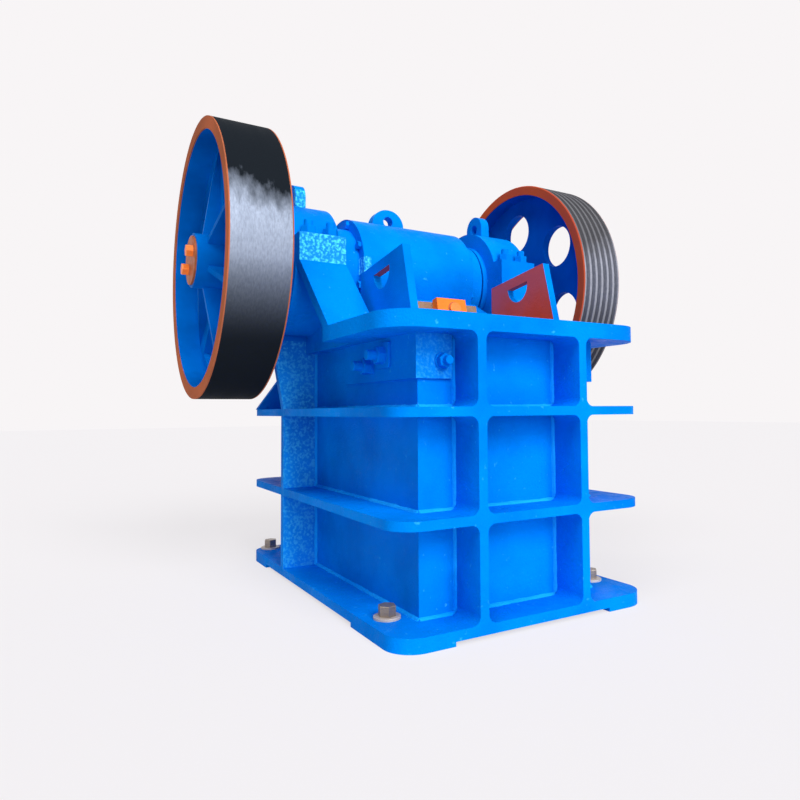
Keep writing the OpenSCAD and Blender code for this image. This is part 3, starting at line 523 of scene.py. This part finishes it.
def nut_and_stud(shape, foot, axis, size, stud, turn):
    """A nut for a thread of the given size, with the end of its stud standing out."""
    nut = size * NUT_HEIGHT
    hex_head(shape, foot, axis, size * NUT_WIDTH, nut, turn)
    post(shape, Vector(foot) + axis * nut, axis, size / 2, stud, sides=20,
         chamfer=size * STUD_CHAMFER)


# Weld beads: leg, length of one ripple, how full the round is, and how the ripples vary
BEAD_LEG = 0.009
BEAD_STEP = 0.03
BEAD_BULGE = 0.62
BEAD_SIZES = (0.82, 1.12)


def bead(shape, start, end, u, v):
    """A weld bead in a corner between faces that run along u and v, a little uneven."""
    start, end = Vector(start), Vector(end)
    count = max(2, int((end - start).length / BEAD_STEP))
    step = (end - start) / count
    corners = (Vector(), u * BEAD_LEG, (u + v) * BEAD_LEG * BEAD_BULGE, v * BEAD_LEG)
    tip = shape.faces.new([shape.verts.new(start + corner) for corner in corners])
    size = 1.0
    for i in range(count):
        made = bmesh.ops.extrude_face_region(shape, geom=[tip])["geom"]
        ring = [part for part in made if isinstance(part, bmesh.types.BMVert)]
        tip = next(part for part in made if isinstance(part, bmesh.types.BMFace))
        bmesh.ops.translate(shape, verts=ring, vec=step)
        wanted = random.uniform(*BEAD_SIZES)
        middle = Matrix.Translation(-(start + step * (i + 1)))
        bmesh.ops.scale(shape, vec=(wanted / size,) * 3, space=middle, verts=ring)
        size = wanted
    bmesh.ops.recalc_face_normals(shape, faces=list(shape.faces))


# Foundation bolts: half the spacings of their holes; radius and thickness of their washers;
# width and height of their heads
BOLT_X = 0.4325
BOLT_Y = 0.626
FOOT_WASHER_R = 0.044
FOOT_WASHER_T = 0.008
FOOT_HEAD_W = 0.051
FOOT_HEAD_H = 0.034


def foundation_bolts():
    washers, bolts = bmesh.new(), bmesh.new()
    for sx in (-1, 1):
        for sy in (-1, 1):
            foot = Vector((sx * BOLT_X, sy * BOLT_Y, BASE_TOP))
            post(washers, foot, Z, FOOT_WASHER_R, FOOT_WASHER_T, sides=32, chamfer=0.0015)
            foot += Z * FOOT_WASHER_T
            hex_head(bolts, foot, Z, FOOT_HEAD_W, FOOT_HEAD_H, turn=0.3 * sx + sy)
    piece("foundation_washers", "frame", PALE_STEEL, washers)
    piece("foundation_bolts", "frame", BOLT_STEEL, bolts)


# The through-bolts of a side wall: distance from the frame's front, height, washer's side
SIDE_BOLTS = ((0.348, 0.888, 0.088), (0.462, 0.858, 0.056))
SIDE_WASHER_T = 0.01
SIDE_BOLT = 0.035
SIDE_BOLT_END = 0.034

# The bolt in the front of the left pad
PAD_BOLT_X = -0.278
PAD_BOLT_Z = 0.858
PAD_WASHER_R = 0.028
PAD_WASHER_T = 0.006
PAD_BOLT = 0.028
PAD_BOLT_END = 0.022


def side_bolts():
    washers, bolts = bmesh.new(), bmesh.new()
    for s in (-1, 1):
        for back, z, side in SIDE_BOLTS:
            x, y = s * PAD_FACE, FRAME_FRONT + back
            outer = x + s * SIDE_WASHER_T
            block(washers, (min(x, outer), y - side / 2, z - side / 2),
                  (max(x, outer), y + side / 2, z + side / 2), chamfer=0.0015)
            nut_and_stud(bolts, (outer, y, z), X * s, SIDE_BOLT, SIDE_BOLT_END, turn=0.4 * s)
    front = Vector((PAD_BOLT_X, LEFT_PAD[0][1], PAD_BOLT_Z))
    post(washers, front, -Y, PAD_WASHER_R, PAD_WASHER_T, sides=28, chamfer=0.001)
    nut_and_stud(bolts, front - Y * PAD_WASHER_T, -Y, PAD_BOLT, PAD_BOLT_END, turn=0.2)
    piece("side_bolt_washers", "frame", BLUE_PAINT, washers)
    piece("side_bolts", "frame", BLUE_PAINT, bolts)


# The studs of a bearing cap: their places around the middle of the housing, their washers,
# the size of their threads and how far these stand out
CAP_STUD_X = 0.0455
CAP_STUD_Y = 0.272
CAP_WASHER_R = 0.03
CAP_WASHER_T = 0.006
CAP_STUD = 0.034
CAP_STUD_END = 0.026


def cap_nuts():
    for s, name in ((-1, "left"), (1, "right")):
        nuts = bmesh.new()
        for dx in (-CAP_STUD_X, CAP_STUD_X):
            for dy in (-CAP_STUD_Y, CAP_STUD_Y):
                foot = Vector((s * HOUSING_MID + dx, SHAFT_Y + dy, EAR_TOP))
                post(nuts, foot, Z, CAP_WASHER_R, CAP_WASHER_T, sides=28, chamfer=0.001)
                foot += Z * CAP_WASHER_T
                nut_and_stud(nuts, foot, Z, CAP_STUD, CAP_STUD_END, turn=dx * 9)
        piece(name + "_cap_nuts", "frame", BLUE_PAINT, nuts)


# Rings of bolts around the shaft: on the bearing covers and on the ends of the barrel
COVER_BOLTS = {"radius": 0.178, "count": 8, "width": 0.024, "height": 0.012, "start": 0.2}
BARREL_BOLTS = {"radius": 0.221, "count": 8, "width": 0.03, "height": 0.014, "start": 0.35}


def ring_of_bolts(shape, x, axis, radius, count, width, height, start):
    for i in range(count):
        a = start + i * 2 * math.pi / count
        foot = (x, SHAFT_Y - radius * math.sin(a), SHAFT_Z + radius * math.cos(a))
        hex_head(shape, foot, axis, width, height, a)


def cover_and_barrel_bolts():
    cover_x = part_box("right_outer_cover")[1][0]
    barrel_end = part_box("right_jaw_ring")[0][0]
    for s, name in ((-1, "left"), (1, "right")):
        covers, barrel = bmesh.new(), bmesh.new()
        ring_of_bolts(covers, s * cover_x, X * s, **COVER_BOLTS)
        piece(name + "_cover_bolts", "frame", BLUE_PAINT, covers)
        ring_of_bolts(barrel, s * barrel_end, X * s, **BARREL_BOLTS)
        piece(name + "_ring_bolts", "jaw", BLUE_PAINT, barrel)


# The two bolts of an end plate: their places beside and below the shaft's middle, and heads
END_BOLT_Y = 0.042
END_BOLT_Z = 0.028
END_HEAD_W = 0.042
END_HEAD_H = 0.024


def end_plate_bolts():
    for node, s in (("flywheel_end_plate", -1), ("pulley_end_plate", 1)):
        bolts = bmesh.new()
        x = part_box(node)[0 if s < 0 else 1][0]
        for side in (-1, 1):
            foot = (x, SHAFT_Y + side * END_BOLT_Y, SHAFT_Z - side * END_BOLT_Z)
            hex_head(bolts, foot, X * s, END_HEAD_W, END_HEAD_H, turn=0.3)
        piece(node + "_bolts", "shaft", ORANGE_BOLTS, bolts)


# The clamp's bolt: how far its axis leans up, its middle from the clamp's low front edge at
# the middle of the machine, a wider dark disc under it that draws a dark ring round its head,
# and its head
CLAMP_LEAN = math.atan2(0.206, 0.93)
CLAMP_BOLT = Vector((0.012, 0.0045, 0.022))
CLAMP_RING_R = 0.030
CLAMP_RING_T = 0.004
CLAMP_BOLT_R = 0.025
CLAMP_BOLT_H = 0.010


def clamp_bolt():
    dark_ring, bolt = bmesh.new(), bmesh.new()
    edge = Vector(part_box("clamp_block")[0])
    out = Vector((0, -math.cos(CLAMP_LEAN), math.sin(CLAMP_LEAN)))
    middle = Vector((0, edge.y, edge.z)) + CLAMP_BOLT
    half = out * CLAMP_RING_T / 2
    post(dark_ring, middle - half, out, CLAMP_RING_R, CLAMP_RING_T, sides=32)
    post(bolt, middle + half, out, CLAMP_BOLT_R, CLAMP_BOLT_H, sides=32, chamfer=0.003)
    piece("clamp_dark_ring", "jaw", RUSTY_STEEL, dark_ring)
    piece("clamp_bolt", "jaw", ORANGE_BOLTS, bolt)


# Where the beads run: along the front ribs, whose box takes in the round corners at their
# ends, along the side ribs, and at the foot of each level between two flanges
RIB_HALF = 0.016
RIB_CORNER = 0.028
RIB_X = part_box("front_ribs")[1][0] - RIB_CORNER - RIB_HALF
SIDE_RIB_Y = LEFT_RIBS[0][1]
SIDE_RIB_T = 0.032
LEVELS = ((BASE_TOP, LOWER_BAND[0][2]), (LOWER_BAND[1][2], UPPER_BAND[0][2]),
          (UPPER_BAND[1][2], TOP_FLANGE[0][2]))


def frame_welds():
    """Beads where the front wall and the side walls meet the ribs and the flanges."""
    front, left, right = bmesh.new(), bmesh.new(), bmesh.new()
    for low, high in LEVELS:
        for s in (-1, 1):
            for edge in (-1, 1):
                x = s * RIB_X + edge * RIB_HALF
                bead(front, (x, WALL_FRONT, low), (x, WALL_FRONT, high), X * edge, -Y)
        for x0, x1 in ((-WALL_X, -RIB_X - RIB_HALF), (-RIB_X + RIB_HALF, RIB_X - RIB_HALF),
                       (RIB_X + RIB_HALF, WALL_X)):
            bead(front, (x0, WALL_FRONT, low), (x1, WALL_FRONT, low), Z, -Y)
        for shape, s in ((left, -1), (right, 1)):
            x = s * WALL_X
            bead(shape, (x, WALL_FRONT, low), (x, SIDE_RIB_Y, low), Z, X * s)
            bead(shape, (x, SIDE_RIB_Y, low), (x, SIDE_RIB_Y, high), X * s, -Y)
            bead(shape, (x, SIDE_RIB_Y + SIDE_RIB_T, low), (x, WALL_REAR, low), Z, X * s)
    piece("front_welds", "frame", WELD_PAINT, front)
    piece("left_welds", "frame", WELD_PAINT, left)
    piece("right_welds", "frame", WELD_PAINT, right)


# The stage: the plain colour that rays from the camera see, how much of it the floor shows,
# and what lights the machine
BACKDROP = (0.938, 0.913, 0.922)
FLOOR_SIZE = 60
FLOOR_GREY = (0.8, 0.79, 0.8)
FLOOR_EVEN = 0.72
SKY = (0.88, 0.86, 1.0)
SKY_STRENGTH = 0.27
# Each sun: name, strength, softness in degrees, and the way its light travels
SUNS = (
    ("key_sun", 2.2, 26, (-0.05, 0.82, -0.57)),
    ("low_sun", 1.45, 40, (0.03, 0.985, -0.16)),
    ("side_sun", 1.2, 30, (0.5, 0.3, -0.81)),
)


def seen_rays(tree):
    """One for the rays that show the background: to the camera, and in metal or glass."""
    path = add(tree, "ShaderNodeLightPath")
    mirrored = maths(tree, "MAXIMUM", path.outputs["Is Glossy Ray"],
                     path.outputs["Is Transmission Ray"])
    return maths(tree, "MAXIMUM", path.outputs["Is Camera Ray"], mirrored)


def make_floor():
    """A pale floor that keeps the machine's shadow."""
    bpy.ops.mesh.primitive_plane_add(size=FLOOR_SIZE)
    floor = bpy.context.object
    floor.name = "floor"
    m = bpy.data.materials.new("floor_pale")
    m.use_nodes = True
    tree = m.node_tree
    tree.nodes.clear()
    lit = add(tree, "ShaderNodeBsdfDiffuse", {"Color": (*FLOOR_GREY, 1)})
    even = add(tree, "ShaderNodeEmission", {"Color": (*BACKDROP, 1), "Strength": 1.0})
    share = maths(tree, "MULTIPLY", seen_rays(tree), FLOOR_EVEN)
    mixed = add(tree, "ShaderNodeMixShader", {0: share, 1: lit.outputs[0], 2: even.outputs[0]})
    out = add(tree, "ShaderNodeOutputMaterial")
    tree.links.new(mixed.outputs[0], out.inputs[0])
    floor.data.materials.append(m)


def make_sky():
    """Soft light from all sides, behind a plain pale backdrop."""
    world = bpy.data.worlds.new("studio")
    world.use_nodes = True
    tree = world.node_tree
    tree.nodes.clear()
    light = add(tree, "ShaderNodeBackground", {"Color": (*SKY, 1), "Strength": SKY_STRENGTH})
    seen = add(tree, "ShaderNodeBackground", {"Color": (*BACKDROP, 1), "Strength": 1.0})
    mixed = add(tree, "ShaderNodeMixShader",
                {0: seen_rays(tree), 1: light.outputs[0], 2: seen.outputs[0]})
    out = add(tree, "ShaderNodeOutputWorld")
    tree.links.new(mixed.outputs[0], out.inputs[0])
    bpy.context.scene.world = world


def make_sun(name, strength, softness, aim):
    """A sun whose light travels along aim."""
    data = bpy.data.lights.new(name, "SUN")
    data.energy = strength
    data.angle = math.radians(softness)
    lamp = bpy.data.objects.new(name, data)
    lamp.matrix_world = Vector(aim).to_track_quat("-Z", "Y").to_matrix().to_4x4()
    bpy.context.collection.objects.link(lamp)


make_camera()
make_floor()
make_sky()
for sun in SUNS:
    make_sun(*sun)
bpy.context.scene.view_settings.view_transform = "Standard"

FINISH = finish_group()
WHEEL_ZONES = wheel_group()
PAINTED_GLINTS = glint_group()
BLUE_PAINT = blue_material()
WELD_PAINT = weld_material()
ORANGE_BOLTS = dress("orange_bolt_paint", ORANGE, ORANGE_SHADE, ORANGE_GLOSS, relief=0.3)
RUSTY_STEEL = dress("rusty_steel", RUST, RIM_DARK, gloss=(0.6, 0.8), relief=0.4)
BOLT_STEEL = dress("bolt_steel", BOLT, BOLT_SHADE, gloss=(0.3, 0.5), relief=0.4,
                   metal=0.7)
PALE_STEEL = dress("pale_washer_steel", WASHER, WASHER_SHADE, gloss=(0.4, 0.6), relief=0.3,
                   metal=0.3)

finishes = {
    "blue_paint": BLUE_PAINT,
    "red_primer": cheek_material(),
    "orange_paint": orange_material(),
    "jaw_plate_steel": dress("jaw_plate_steel", JAW_IRON, JAW_IRON_SHADE, gloss=(0.5, 0.8),
                             relief=0.5, metal=0.2),
    "bare_steel": dress("bare_steel", BARE_STEEL, BARE_SHADE, gloss=(0.3, 0.5), relief=0.2,
                        metal=0.9),
    "flywheel_iron": wheel_material(
        "flywheel_iron", outer_x=0.875, rim_depth=0.046, face_depth=0.002,
        face=FLYWHEEL_FACE_AND_SHEEN, inside=(FLYWHEEL_SHADED_BLUE, FLYWHEEL_SHADED_MOTTLE), sides=(RIM_BROWN, RIM_DARK)),
    "pulley_iron": wheel_material(
        "pulley_iron", outer_x=0.874, rim_depth=0.044, face_depth=0.0215,
        face=PULLEY_FACE_AND_SHEEN, inside=(PULLEY_SHADED_BLUE, PULLEY_SHADED_MOTTLE), sides=(RIM_RED, RIM_RED_SHADE)),
}
slots = {row["node"]: row["material_slot"] for row in frame["record"]["subparts"]}
for name, o in frame["nodes"].items():
    o.data.materials.clear()
    o.data.materials.append(finishes[slots[name]])

foundation_bolts()
side_bolts()
cap_nuts()
cover_and_barrel_bolts()
end_plate_bolts()
clamp_bolt()
frame_welds()
